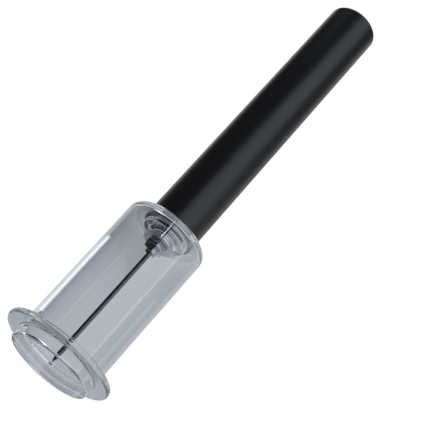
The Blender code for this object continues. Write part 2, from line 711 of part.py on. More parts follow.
def handle_end_cap(handle):
    """Rounded cap with a hollow plug in the tube and a boss that holds the rod's end."""
    plate = END_CAP_HEIGHT - END_CAP_PLATE
    boss_bottom = plate - END_CAP_BOSS_LENGTH
    plug_bore_radius = HANDLE_INSERT_RADIUS - END_CAP_PLUG_WALL
    boss_radius = ROD_BORE_RADIUS + END_CAP_BOSS_WALL
    corners = [
        (0.0, END_CAP_HEIGHT),
        (HANDLE_RADIUS, END_CAP_HEIGHT, END_CAP_FILLET),
        (HANDLE_RADIUS, 0.0),
        (HANDLE_INSERT_RADIUS, 0.0),
        (HANDLE_INSERT_RADIUS, -END_CAP_PLUG_LENGTH),
        (plug_bore_radius, -END_CAP_PLUG_LENGTH),
        (plug_bore_radius, plate),
        (boss_radius, plate),
        (boss_radius, boss_bottom),
        (ROD_BORE_RADIUS, boss_bottom),
        (ROD_BORE_RADIUS, plate),
        (0.0, plate),
    ]
    piece = turned("handle_end_cap", corners, WIDE_STEPS)
    dress_and_place(piece, satin_black_plastic, END_CAP_SEAM, handle)


def guide_bush(handle):
    """The ring in the handle's lower end, split by a slot that also lets air in."""
    piece = washer("guide_bush", HANDLE_INSERT_RADIUS, BUSH_BORE_RADIUS, BUSH_LENGTH, MIDDLE_STEPS)
    slot = bmesh.new()
    bmesh.ops.create_cube(slot, size=1.0)
    slot_height = BUSH_LENGTH + 2 * CUT_OVERRUN
    bmesh.ops.scale(slot, verts=slot.verts, vec=(HANDLE_RADIUS, BUSH_SLOT_WIDTH, slot_height))
    bmesh.ops.translate(slot, verts=slot.verts, vec=(HANDLE_RADIUS / 2, 0.0, BUSH_LENGTH / 2))
    combine(piece, from_bmesh("bush_slot", slot), "DIFFERENCE")
    dress_and_place(piece, grey_plastic, CYLINDER_BOTTOM, handle)


def settle_meshes():
    """Make the modifiers of every piece part of its mesh, and shade it smooth up to an angle."""
    bpy.context.view_layer.update()
    graph = bpy.context.evaluated_depsgraph_get()
    pieces = [
        piece
        for piece in bpy.data.collections[PARTS_COLLECTION].objects
        if piece.type == "MESH"
    ]
    settled = [bpy.data.meshes.new_from_object(piece.evaluated_get(graph)) for piece in pieces]
    for piece, mesh in zip(pieces, settled):
        piece.modifiers.clear()
        mesh.name = piece.name
        piece.data = mesh
        mesh.shade_smooth()
        mesh.set_sharp_from_angle(angle=SHARP_ANGLE)


def main():
    clear_scene()
    new_collection(PARTS_COLLECTION)
    new_collection(CUTTERS_COLLECTION)
    cup = new_carrier("cup", 0.0)
    stem = new_carrier("pump_stem", BASE_LEVEL, cup)
    handle = new_carrier("handle", BASE_LEVEL, stem)
    ball_carrier = new_carrier("check_valve", VALVE_BALL_CENTRE, stem)

    guide_cup(cup)
    stem_pieces = [
        pump_base, base_rings, hub_washer, needle_hub, needle, valve_seat, valve_spring,
        pump_cylinder, cylinder_cap,
    ]
    for make in stem_pieces:
        make(stem)
    valve_ball(ball_carrier)
    handle_pieces = [
        piston_screw, seal_washer, piston_seal, piston_head, buffers, piston_rod, rod_lock_nut,
        handle_tube, handle_end_cap, guide_bush,
    ]
    for make in handle_pieces:
        make(handle)
    settle_meshes()
    print(f"pump stroke {PUMP_STROKE * 1000:.2f} mm, cup release {CUP_RELEASE * 1000:.2f} mm")


main()
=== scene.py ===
"""Looks of an air pump wine opener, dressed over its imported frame.

The frame gives the place and outer size of every piece. This script turns the pieces that show as
fine meshes inside those sizes, gives every piece its finish, and sets up a pale studio with a
camera at the photograph's viewing angle. All lengths are in metres, on the frame's own axes: Z runs
up the object's axis and Z = 0 is the rim that the guide cup stands on.
"""

import logging
import math
from collections.abc import Mapping, Sequence
from dataclasses import dataclass
from enum import Enum

import bmesh
import bpy
from mathutils import Matrix, Quaternion, Vector

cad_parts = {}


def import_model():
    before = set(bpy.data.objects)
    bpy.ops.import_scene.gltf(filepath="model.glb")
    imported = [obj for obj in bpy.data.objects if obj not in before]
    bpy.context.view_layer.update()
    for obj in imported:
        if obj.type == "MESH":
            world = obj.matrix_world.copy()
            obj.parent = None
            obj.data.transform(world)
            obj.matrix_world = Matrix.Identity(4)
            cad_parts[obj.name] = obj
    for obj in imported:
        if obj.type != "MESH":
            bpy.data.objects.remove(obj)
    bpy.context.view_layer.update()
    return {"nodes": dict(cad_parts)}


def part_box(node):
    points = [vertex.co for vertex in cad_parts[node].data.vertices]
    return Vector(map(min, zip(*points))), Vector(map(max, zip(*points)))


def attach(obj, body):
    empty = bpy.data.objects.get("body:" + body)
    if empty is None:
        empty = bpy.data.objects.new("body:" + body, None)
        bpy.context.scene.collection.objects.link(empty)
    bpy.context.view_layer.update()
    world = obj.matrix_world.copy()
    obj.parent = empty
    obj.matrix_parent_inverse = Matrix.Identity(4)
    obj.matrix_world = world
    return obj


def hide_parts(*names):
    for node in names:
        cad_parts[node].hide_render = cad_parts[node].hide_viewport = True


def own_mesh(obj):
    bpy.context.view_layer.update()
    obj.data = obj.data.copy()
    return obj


LOG = logging.getLogger("wine_opener")

MM = 0.001

# Facets round a turned piece, a small round section and the wire of a spring
FINE_SEGMENTS = 192
WIDE_SEGMENTS = 128
NARROW_SEGMENTS = 64
SMALL_SEGMENTS = 24
WIRE_SEGMENTS = 12
HEXAGON_SIDES = 6

# Widest angle between two facets that still reads as one smooth surface
SMOOTH_ANGLE = math.radians(32.0)
MERGE_DISTANCE = 0.0002 * MM
CUT_OVERRUN = 1.0 * MM

# Sockets of a Mix node that mixes colours
MIX_SHARE, MIX_FIRST, MIX_SECOND, MIX_RESULT = 0, 6, 7, 2

Triple = tuple[float, float, float]
Colour = tuple[float, float, float, float]
Levels = tuple[tuple[float, float], ...]


class Body(Enum):
    """The frame's bodies that finished pieces ride on."""

    CUP = "cup"
    STEM = "pump_stem"
    HANDLE = "handle"


class Slot(Enum):
    """The record's material slots."""

    CLEAR = "clear_plastic"
    BLACK = "black_plastic"
    GREY = "grey_plastic"
    CHROME = "dark_chrome"
    STEEL = "bright_steel"
    ALUMINIUM = "drawn_aluminium"
    RUBBER = "black_rubber"


@dataclass(frozen=True)
class Corner:
    """One corner of a turned piece's half section."""

    radius: float
    height: float
    fillet: float = 0.0
    steps: int = 4


def linear_colour(hex_colour: str) -> Colour:
    """Turn an sRGB hex colour to the linear colour that a shader takes.

    Args:
        hex_colour: Six hex digits after a hash, such as "#1a1b1d".

    Returns:
        Linear red, green, blue and an alpha of 1.
    """
    channels = []
    for start in (1, 3, 5):
        value = int(hex_colour[start:start + 2], 16) / 255
        channels.append(value / 12.92 if value <= 0.04045 else ((value + 0.055) / 1.055) ** 2.4)
    return (*channels, 1.0)


def grey(level: float) -> Colour:
    """Give the linear colour of a grey level."""
    return (level, level, level, 1.0)


def add_node(
    tree: bpy.types.NodeTree, kind: str, inputs: Mapping[str | int, object] | None = None
) -> bpy.types.Node:
    """Add a node with its settings and links.

    Args:
        tree: The tree to add to.
        kind: The node's type name.
        inputs: What goes in. The key is a number or a capitalised name for a socket, which takes
            a value or a link from another node's socket, or a small name for a property.

    Returns:
        The new node.
    """
    node = tree.nodes.new(kind)
    for key, value in (inputs or {}).items():
        if isinstance(value, bpy.types.NodeSocket):
            tree.links.new(value, node.inputs[key])
        elif isinstance(key, int) or key[0].isupper():
            node.inputs[key].default_value = value
        else:
            setattr(node, key, value)
    return node


def lay_ramp(node: bpy.types.Node, stops: Sequence[tuple[float, float]]) -> bpy.types.NodeSocket:
    """Lay grey levels on a colour ramp.

    Args:
        node: The ramp's node.
        stops: Place from 0 to 1 and grey level, in order.

    Returns:
        The ramp's colour.
    """
    elements = node.color_ramp.elements
    elements[0].position = stops[0][0]
    elements[1].position = stops[-1][0]
    for place, _ in stops[1:-1]:
        elements.new(place)
    for element, (_, level) in zip(elements, stops):
        element.color = grey(level)
    return node.outputs["Color"]


@dataclass(frozen=True)
class Finish:
    """A finish: a real material, and how its surface was made.

    Noise with its own cell size along each axis raises the surface by a height, moves the
    roughness by a reach either way, and mixes in a second colour where there is one.
    """

    name: str
    colour: str
    roughness: float
    metallic: float = 0.0
    cell: Triple = (MM, MM, MM)
    detail: float = 2.0
    height: float = 0.0
    reach: float = 0.0
    second_colour: str = ""

    def build(self) -> bpy.types.Material:
        """Make the material.

        Returns:
            The new material, with a Principled shader.
        """
        material = bpy.data.materials.new(self.name)
        material.use_nodes = True
        tree = material.node_tree
        shader = tree.nodes["Principled BSDF"]
        colour = linear_colour(self.colour)
        shader.inputs["Base Color"].default_value = colour
        shader.inputs["Roughness"].default_value = self.roughness
        shader.inputs["Metallic"].default_value = self.metallic
        noise = self.spread(tree, self.cell, self.detail)
        if self.height:
            bump = add_node(
                tree, "ShaderNodeBump", {"Strength": 1.0, "Distance": self.height, "Height": noise}
            )
            tree.links.new(bump.outputs["Normal"], shader.inputs["Normal"])
        if self.reach:
            self.vary_roughness(tree, noise, self.reach)
        if self.second_colour:
            other = linear_colour(self.second_colour)
            ends = {MIX_SHARE: noise, MIX_FIRST: colour, MIX_SECOND: other}
            mix = add_node(tree, "ShaderNodeMix", {"data_type": "RGBA", **ends})
            tree.links.new(mix.outputs[MIX_RESULT], shader.inputs["Base Color"])
        return material

    def spread(
        self, tree: bpy.types.NodeTree, cell: Triple, detail: float
    ) -> bpy.types.NodeSocket:
        """Add noise over the piece.

        Args:
            tree: The material's nodes.
            cell: Length of one cell of the noise along X, Y and Z.
            detail: Octaves of the noise.

        Returns:
            The noise, from 0 to 1.
        """
        place = add_node(tree, "ShaderNodeTexCoord").outputs["Object"]
        scale = tuple(1.0 / length for length in cell)
        mapping = add_node(tree, "ShaderNodeMapping", {"Scale": scale, "Vector": place})
        noise = add_node(
            tree,
            "ShaderNodeTexNoise",
            {"Scale": 1.0, "Detail": detail, "Vector": mapping.outputs["Vector"]},
        )
        return noise.outputs["Fac"]

    def vary_roughness(
        self, tree: bpy.types.NodeTree, noise: bpy.types.NodeSocket, reach: float
    ) -> None:
        """Let noise move the roughness up and down.

        Args:
            tree: The material's nodes.
            noise: The noise, from 0 to 1.
            reach: How far the roughness goes either side of the finish's own.
        """
        ranged = add_node(
            tree,
            "ShaderNodeMapRange",
            {"To Min": self.roughness - reach, "To Max": self.roughness + reach, "Value": noise},
        )
        shader = tree.nodes["Principled BSDF"]
        tree.links.new(ranged.outputs["Result"], shader.inputs["Roughness"])


@dataclass(frozen=True)
class SmokyAcrylic(Finish):
    """Clear acrylic with a grey blue dye, moulded against a polished tool.

    The eye gets a see-through wall with painted shade, a darker colour where it is seen at a slant,
    most of all in the wall's straight part and the flange, a nearly clear roof with a satin top face
    outside the handle, crisp lines at the edges, and faint long flow marks.
    """

    name: str = "smoky_acrylic_moulded"
    colour: str = "#e6eaee"
    roughness: float = 0.012
    cell: Triple = (5.0 * MM, 5.0 * MM, 120.0 * MM)
    height: float = 0.012 * MM
    refraction: float = 1.49
    dye: str = "#7c95a6"
    dye_strength: float = 5.0
    # Painted shade: the darker colour laid where the wall is seen at a slant
    slant_shade_colour: str = "#8c9aad"
    # Share of the painted slant shade by height up the wall. The flange has it in full.
    wall_shade_levels: Levels = (
        (0.0, 0.4), (7.5 * MM, 0.4), (13.0 * MM, 1.0),
        (66.0 * MM, 1.0), (70.0 * MM, 0.3), (74.0 * MM, 0.3),
    )
    flange_radius: float = 18.4 * MM
    roof_colour: str = "#f6f7f8"
    roof_level: float = 69.4 * MM
    roof_radius: float = 12.5 * MM
    satin_roughness: float = 0.6
    satin_radius: float = 11.4 * MM
    satin_level: float = 73.95 * MM
    satin_depth: float = 0.1 * MM
    blend: float = 1.0 * MM

    def build(self) -> bpy.types.Material:
        """Make the material, with its colour and roughness by place in the cup.

        Returns:
            The new material.
        """
        material = super().build()
        tree = material.node_tree
        shader = tree.nodes["Principled BSDF"]
        shader.inputs["Transmission Weight"].default_value = 1.0
        shader.inputs["IOR"].default_value = self.refraction
        place = add_node(tree, "ShaderNodeTexCoord").outputs["Object"]
        parts = add_node(tree, "ShaderNodeSeparateXYZ", {"Vector": place}).outputs
        across = add_node(tree, "ShaderNodeCombineXYZ", {0: parts["X"], 1: parts["Y"]})
        length = {"operation": "LENGTH", 0: across.outputs["Vector"]}
        radius = add_node(tree, "ShaderNodeVectorMath", length).outputs["Value"]
        level = parts["Z"]
        top = self.wall_shade_levels[-1][0]
        # Painted shade, darker where the surface is seen at a slant
        slant = add_node(tree, "ShaderNodeLayerWeight", {"Blend": 0.5})
        shares = {"slant": slant.outputs["Facing"]}
        # Each of these goes from 0 to 1 between two places
        for name, source, start, end in (
            ("rise", level, 0.0, top),
            ("flange", radius, self.flange_radius, self.flange_radius + self.blend),
            ("near axis", radius, self.roof_radius + 2 * self.blend, self.roof_radius),
            ("at roof", level, self.roof_level - self.blend, self.roof_level),
            ("outside handle", radius, self.satin_radius - self.blend, self.satin_radius),
            ("at top", level, self.satin_level - self.satin_depth, self.satin_level),
        ):
            ends = {"From Min": start, "From Max": end, "Value": source}
            shares[name] = add_node(tree, "ShaderNodeMapRange", ends).outputs["Result"]
        wall = add_node(tree, "ShaderNodeValToRGB", {"Fac": shares["rise"]})
        shares["wall"] = lay_ramp(
            wall, [(height / top, share) for height, share in self.wall_shade_levels]
        )
        for name, operation, first, second in (
            ("steep slant", "MULTIPLY", "slant", "slant"),
            ("slant shade place", "MAXIMUM", "wall", "flange"),
            ("slant shade", "MULTIPLY", "steep slant", "slant shade place"),
            ("roof", "MULTIPLY", "near axis", "at roof"),
            ("satin", "MULTIPLY", "outside handle", "at top"),
        ):
            pair = {"operation": operation, 0: shares[first], 1: shares[second]}
            shares[name] = add_node(tree, "ShaderNodeMath", pair).outputs["Value"]
        colour = linear_colour(self.colour)
        # Painted slant shade over the wall and flange, then the nearly clear roof
        for share, other in (("slant shade", self.slant_shade_colour), ("roof", self.roof_colour)):
            ends = {MIX_SHARE: shares[share], MIX_FIRST: colour, MIX_SECOND: linear_colour(other)}
            mix = add_node(tree, "ShaderNodeMix", {"data_type": "RGBA", **ends})
            colour = mix.outputs[MIX_RESULT]
        satin = add_node(
            tree,
            "ShaderNodeMapRange",
            {"To Min": self.roughness, "To Max": self.satin_roughness, "Value": shares["satin"]},
        )
        dye = add_node(
            tree,
            "ShaderNodeVolumeAbsorption",
            {"Color": linear_colour(self.dye), "Density": self.dye_strength},
        )
        output = tree.nodes["Material Output"]
        tree.links.new(colour, shader.inputs["Base Color"])
        tree.links.new(satin.outputs["Result"], shader.inputs["Roughness"])
        tree.links.new(dye.outputs["Volume"], output.inputs["Volume"])
        return material


@dataclass(frozen=True)
class SatinAbs(Finish):
    """Black ABS moulded against a fine spark eroded tool.

    The eye gets a soft, wide highlight and a faint grain. The tool's real grain of 0.05 mm is too
    fine to show, so it is drawn as coarse as one picture element.
    """

    name: str = "satin_black_abs_moulded"
    colour: str = "#0b0d10"
    roughness: float = 0.35
    cell: Triple = (0.5 * MM, 0.5 * MM, 0.5 * MM)
    detail: float = 3.0
    height: float = 0.004 * MM
    cloud: Triple = (14.0 * MM, 14.0 * MM, 56.0 * MM)
    cloud_detail: float = 2.0
    cloud_reach: float = 0.03

    def build(self) -> bpy.types.Material:
        """Make the material, with a roughness that changes in wide clouds.

        Returns:
            The new material.
        """
        material = super().build()
        clouds = self.spread(material.node_tree, self.cloud, self.cloud_detail)
        self.vary_roughness(material.node_tree, clouds, self.cloud_reach)
        return material


@dataclass(frozen=True)
class GreyNylon(Finish):
    """Grey nylon, moulded.

    The eye gets a dull surface with a slightly cloudy colour.
    """

    name: str = "grey_nylon_moulded"
    colour: str = "#77797c"
    roughness: float = 0.5
    cell: Triple = (3.0 * MM, 3.0 * MM, 3.0 * MM)
    reach: float = 0.05
    second_colour: str = "#6b6d71"


@dataclass(frozen=True)
class PolishedChrome(Finish):
    """Chrome plate on turned brass.

    The eye gets a mirror that splits into light and dark, with the lathe's faint rings under it.
    """

    name: str = "chrome_plate_turned"
    colour: str = "#a6a9ac"
    roughness: float = 0.06
    metallic: float = 1.0
    cell: Triple = (10.0 * MM, 10.0 * MM, 0.25 * MM)
    height: float = 0.0006 * MM
    reach: float = 0.02


@dataclass(frozen=True)
class BrightChrome(PolishedChrome):
    """Thicker, brighter chrome plate on turned brass.

    The eye gets the same mirror as on the hub, only lighter.
    """

    name: str = "chrome_plate_bright_turned"
    colour: str = "#cdcfd1"


@dataclass(frozen=True)
class GroundSteel(Finish):
    """Stainless steel, centreless ground.

    The eye gets bright metal with fine scratches round it.
    """

    name: str = "stainless_steel_ground"
    colour: str = "#c9cac8"
    roughness: float = 0.14
    metallic: float = 1.0
    cell: Triple = (4.5 * MM, 4.5 * MM, 0.15 * MM)
    detail: float = 3.0
    height: float = 0.001 * MM
    reach: float = 0.05


@dataclass(frozen=True)
class DarkSteel(Finish):
    """Needle steel with a smooth black oxide, rubbed to a low shine.

    The eye gets a black needle with a soft grey light along one side.
    """

    name: str = "steel_black_oxide"
    colour: str = "#323335"
    roughness: float = 0.15
    metallic: float = 1.0
    cell: Triple = (0.2 * MM, 0.2 * MM, 6.0 * MM)
    height: float = 0.001 * MM
    reach: float = 0.04


@dataclass(frozen=True)
class TumbledPlate(Finish):
    """Plate on a stamped washer that was tumbled first.

    The eye gets a soft grey disc that mirrors nothing sharply, with a slightly uneven sheen.
    """

    name: str = "plate_tumbled"
    colour: str = "#dcdee0"
    roughness: float = 0.4
    metallic: float = 1.0
    cell: Triple = (1.5 * MM, 1.5 * MM, 1.5 * MM)
    detail: float = 3.0
    height: float = 0.004 * MM
    reach: float = 0.06


@dataclass(frozen=True)
class DrawnAluminium(Finish):
    """Aluminium tube as drawn.

    The eye gets a satin tube with fine lines along its length from the die.
    """

    name: str = "aluminium_tube_drawn"
    colour: str = "#d2d5d8"
    roughness: float = 0.28
    metallic: float = 1.0
    cell: Triple = (0.3 * MM, 0.3 * MM, 60.0 * MM)
    detail: float = 3.0
    height: float = 0.002 * MM
    reach: float = 0.06


@dataclass(frozen=True)
class NitrileRubber(Finish):
    """Black nitrile rubber, moulded.

    The eye gets a dull black with a dusty bloom in places.
    """

    name: str = "nitrile_rubber_moulded"
    colour: str = "#1b1b1c"
    roughness: float = 0.6
    cell: Triple = (1.2 * MM, 1.2 * MM, 1.2 * MM)
    detail: float = 4.0
    reach: float = 0.1
    second_colour: str = "#2a2a2b"


class Workshop:
    """Makes finished pieces: their meshes, their finishes and what they ride on."""

    def __init__(self) -> None:
        """Build each finish once."""
        self.materials: dict[Slot, bpy.types.Material] = {
            Slot.CLEAR: SmokyAcrylic().build(),
            Slot.BLACK: SatinAbs().build(),
            Slot.GREY: GreyNylon().build(),
            Slot.CHROME: PolishedChrome().build(),
            Slot.STEEL: GroundSteel().build(),
            Slot.ALUMINIUM: DrawnAluminium().build(),
            Slot.RUBBER: NitrileRubber().build(),
        }
        self.needle_material = DarkSteel().build()
        self.washer_material = TumbledPlate().build()
        self.base_material = BrightChrome().build()

    def section(self, corners: Sequence[Corner]) -> bmesh.types.BMesh:
        """Draw a half section as a loop of edges, with its corners rounded.

        Args:
            corners: The section's corners in order. Those on the axis have a radius of 0.

        Returns:
            A shape that holds the loop. What lies along the axis is left open.
        """
        shape = bmesh.new()
        verts = [shape.verts.new((corner.radius, 0.0, corner.height)) for corner in corners]
        shape.faces.new(verts)
        for vert, corner in zip(verts, corners):
            if corner.fillet:
                bmesh.ops.bevel(
                    shape,
                    geom=[vert],
                    offset=self.reach(vert, corner.fillet),
                    offset_type="OFFSET",
                    segments=corner.steps,
                    profile=0.5,
                    affect="VERTICES",
                    material=-1,
                )
        bmesh.ops.delete(shape, geom=shape.faces[:], context="FACES_ONLY")
        on_axis = [
            edge for edge in shape.edges if all(vert.co.x < MERGE_DISTANCE for vert in edge.verts)
        ]
        bmesh.ops.delete(shape, geom=on_axis, context="EDGES")
        return shape

    def reach(self, vert: bmesh.types.BMVert, fillet: float) -> float:
        """Work out how far along its edges a corner's fillet starts.

        Args:
            vert: The corner, which has two edges.
            fillet: The fillet's radius.

        Returns:
            The distance from the corner to the fillet's ends.
        """
        sides = [(edge.other_vert(vert).co - vert.co).normalized() for edge in vert.link_edges]
        return fillet / math.tan(sides[0].angle(sides[1]) / 2)

    def turn(self, corners: Sequence[Corner], segments: int) -> bmesh.types.BMesh:
        """Turn a half section round the Z axis.

        Args:
            corners: The section's corners in order.
            segments: Facets round the axis.

        Returns:
            The closed shape, with its faces pointing out.
        """
        shape = self.section(corners)
        self.spin(shape, segments)
        bmesh.ops.remove_doubles(shape, verts=shape.verts, dist=MERGE_DISTANCE)
        bmesh.ops.recalc_face_normals(shape, faces=shape.faces)
        return shape

    def spin(
        self, shape: bmesh.types.BMesh, steps: int, turns: int = 1, rise: float = 0.0
    ) -> None:
        """Spin all that a shape holds round the Z axis.

        Args:
            shape: The shape.
            steps: Facets over all the turns.
            turns: Whole turns.
            rise: Height gained over all the turns. Without one, the two ends are joined.
        """
        bmesh.ops.spin(
            shape,
            geom=shape.verts[:] + shape.edges[:],
            cent=(0.0, 0.0, 0.0),
            axis=(0.0, 0.0, 1.0),
            dvec=(0.0, 0.0, rise / steps),
            angle=math.tau * turns,
            steps=steps,
            use_merge=not rise,
        )

    def round_section(self, radius: float, middle: Vector, segments: int) -> bmesh.types.BMesh:
        """Draw a round section that stands across the way that it will be spun.

        Args:
            radius: The section's radius.
            middle: Where its middle goes.
            segments: Facets round the section.

        Returns:
            A shape that holds the section.
        """
        shape = bmesh.new()
        bmesh.ops.create_circle(shape, segments=segments, radius=radius)
        bmesh.ops.rotate(shape, verts=shape.verts, matrix=Matrix.Rotation(math.pi / 2, 3, "X"))
        bmesh.ops.translate(shape, verts=shape.verts, vec=middle)
        return shape

    def rod(self, radius: float, length: float, segments: int) -> bmesh.types.BMesh:
        """Make a straight rod along the Z axis, with the origin at its middle.

        Args:
            radius: The rod's radius, out to its corners.
            length: The rod's length.
            segments: Facets round the rod.

        Returns:
            The closed shape.
        """
        shape = bmesh.new()
        bmesh.ops.create_cone(
            shape, cap_ends=True, segments=segments, radius1=radius, radius2=radius, depth=length
        )
        return shape

    def ring(
        self, bore: float, radius: float, bottom: float, top: float, edge: float
    ) -> list[Corner]:
        """Lay out the section of a plain ring with eased edges.

        Args:
            bore: Inner radius.
            radius: Outer radius.
            bottom: Lower level.
            top: Upper level.
            edge: Radius of the eased edges.

        Returns:
            The section's corners.
        """
        return [
            Corner(bore, top, edge),
            Corner(radius, top, edge),
            Corner(radius, bottom, edge),
            Corner(bore, bottom, edge),
        ]

    def make_object(self, name: str, shape: bmesh.types.BMesh) -> bpy.types.Object:
        """Turn a finished shape to an object at the origin, shaded smooth up to an angle.

        Args:
            name: The object's name.
            shape: The shape, which is freed.

        Returns:
            The new object.
        """
        mesh = bpy.data.meshes.new(name)
        shape.to_mesh(mesh)
        shape.free()
        mesh.shade_smooth()
        mesh.set_sharp_from_angle(angle=SMOOTH_ANGLE)
        piece = bpy.data.objects.new(name, mesh)
        bpy.context.scene.collection.objects.link(piece)
        return piece

    def cut(self, piece: bpy.types.Object, tool: bpy.types.Object, operation: str) -> None:
        """Cut a tool out of a piece, or join it on, and take the tool away.

        Args:
            piece: The piece, whose mesh is replaced.
            tool: The other shape.
            operation: A Boolean modifier's operation.
        """
        boolean = piece.modifiers.new("cut", "BOOLEAN")
        boolean.object = tool
        boolean.operation = operation
        boolean.solver = "EXACT"
        graph = bpy.context.evaluated_depsgraph_get()
        mesh = bpy.data.meshes.new_from_object(piece.evaluated_get(graph))
        piece.modifiers.clear()
        piece.data = mesh
        bpy.data.objects.remove(tool, do_unlink=True)
        mesh.shade_smooth()
        mesh.set_sharp_from_angle(angle=SMOOTH_ANGLE)

    def deliver(self, piece: bpy.types.Object, slot: Slot, body: Body, *nodes: str) -> None:
        """Give a piece its finish and its body, and put it in place of its frame nodes.

        Args:
            piece: The finished mesh.
            slot: The finish that it takes.
            body: The body that it rides on.
            nodes: The frame nodes that it stands for.
        """
        weighted = piece.modifiers.new("even_normals", "WEIGHTED_NORMAL")
        weighted.keep_sharp = True
        piece.data.materials.clear()
        piece.data.materials.append(self.materials[slot])
        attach(piece, body.value)
        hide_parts(*nodes)
        LOG.info("%s: %d faces, stands for %s", piece.name, len(piece.data.polygons), nodes)

    def dress_node(self, nodes: Mapping[str, bpy.types.Object], name: str, slot: Slot) -> None:
        """Give a frame node that stays as it is its finish.

        Args:
            nodes: The frame's nodes by name.
            name: The node's name.
            slot: The finish that it takes.
        """
        node = nodes[name]
        node.data.materials.clear()
        node.data.materials.append(self.materials[slot])
        LOG.info("%s: kept from the frame, dressed as %s", name, slot.value)


@dataclass
class GuideCup:
    """The clear cup: roof with a bore and collar, tapered wall, finger flange and mouth."""

    root_radius: float = 18.0 * MM
    mouth_radius: float = 17.8 * MM
    shoulder_radius: float = 18.4 * MM
    wall: float = 2.0 * MM
    roof: float = 2.4 * MM
    bore: float = 7.6 * MM
    collar_radius: float = 10.1 * MM
    collar_height: float = 1.6 * MM
    shoulder_fillet: float = 3.0 * MM
    inner_fillet: float = 1.6 * MM
    flange_bottom: float = 4.8 * MM
    flange_top: float = 7.2 * MM
    flange_fillet: float = 0.9 * MM
    flange_root_fillet: float = 0.6 * MM
    lead_in_height: float = 1.4 * MM
    lead_in_width: float = 0.8 * MM
    small_fillet: float = 0.3 * MM

    def build(self, shop: Workshop) -> None:
        """Turn the cup and deliver it.

        Args:
            shop: What makes and finishes the pieces.
        """
        lowest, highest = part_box("guide_cup")
        top = highest.z
        flange_radius = highest.x
        roof_underside = top - self.roof
        collar_bottom = roof_underside - self.collar_height
        mouth_bore = self.root_radius - self.wall
        corners = [
            Corner(self.bore, top, self.small_fillet / 2, steps=3),
            Corner(self.shoulder_radius, top, self.shoulder_fillet, steps=16),
            Corner(self.root_radius, self.flange_top, self.flange_root_fillet, steps=6),
            Corner(flange_radius, self.flange_top, self.flange_fillet, steps=8),
            Corner(flange_radius, self.flange_bottom, self.flange_fillet, steps=8),
            Corner(self.root_radius, self.flange_bottom, self.flange_root_fillet, steps=6),
            Corner(self.mouth_radius, lowest.z, self.small_fillet),
            Corner(mouth_bore + self.lead_in_width, lowest.z, self.small_fillet / 3, steps=3),
            Corner(mouth_bore, self.lead_in_height, self.small_fillet),
            Corner(self.shoulder_radius - self.wall, roof_underside, self.inner_fillet, steps=12),
            Corner(self.collar_radius, roof_underside, self.small_fillet),
            Corner(self.collar_radius, collar_bottom, self.small_fillet),
            Corner(self.bore, collar_bottom, self.small_fillet),
        ]
        piece = shop.make_object("guide_cup_moulding", shop.turn(corners, FINE_SEGMENTS))
        shop.deliver(piece, Slot.CLEAR, Body.CUP, "guide_cup")


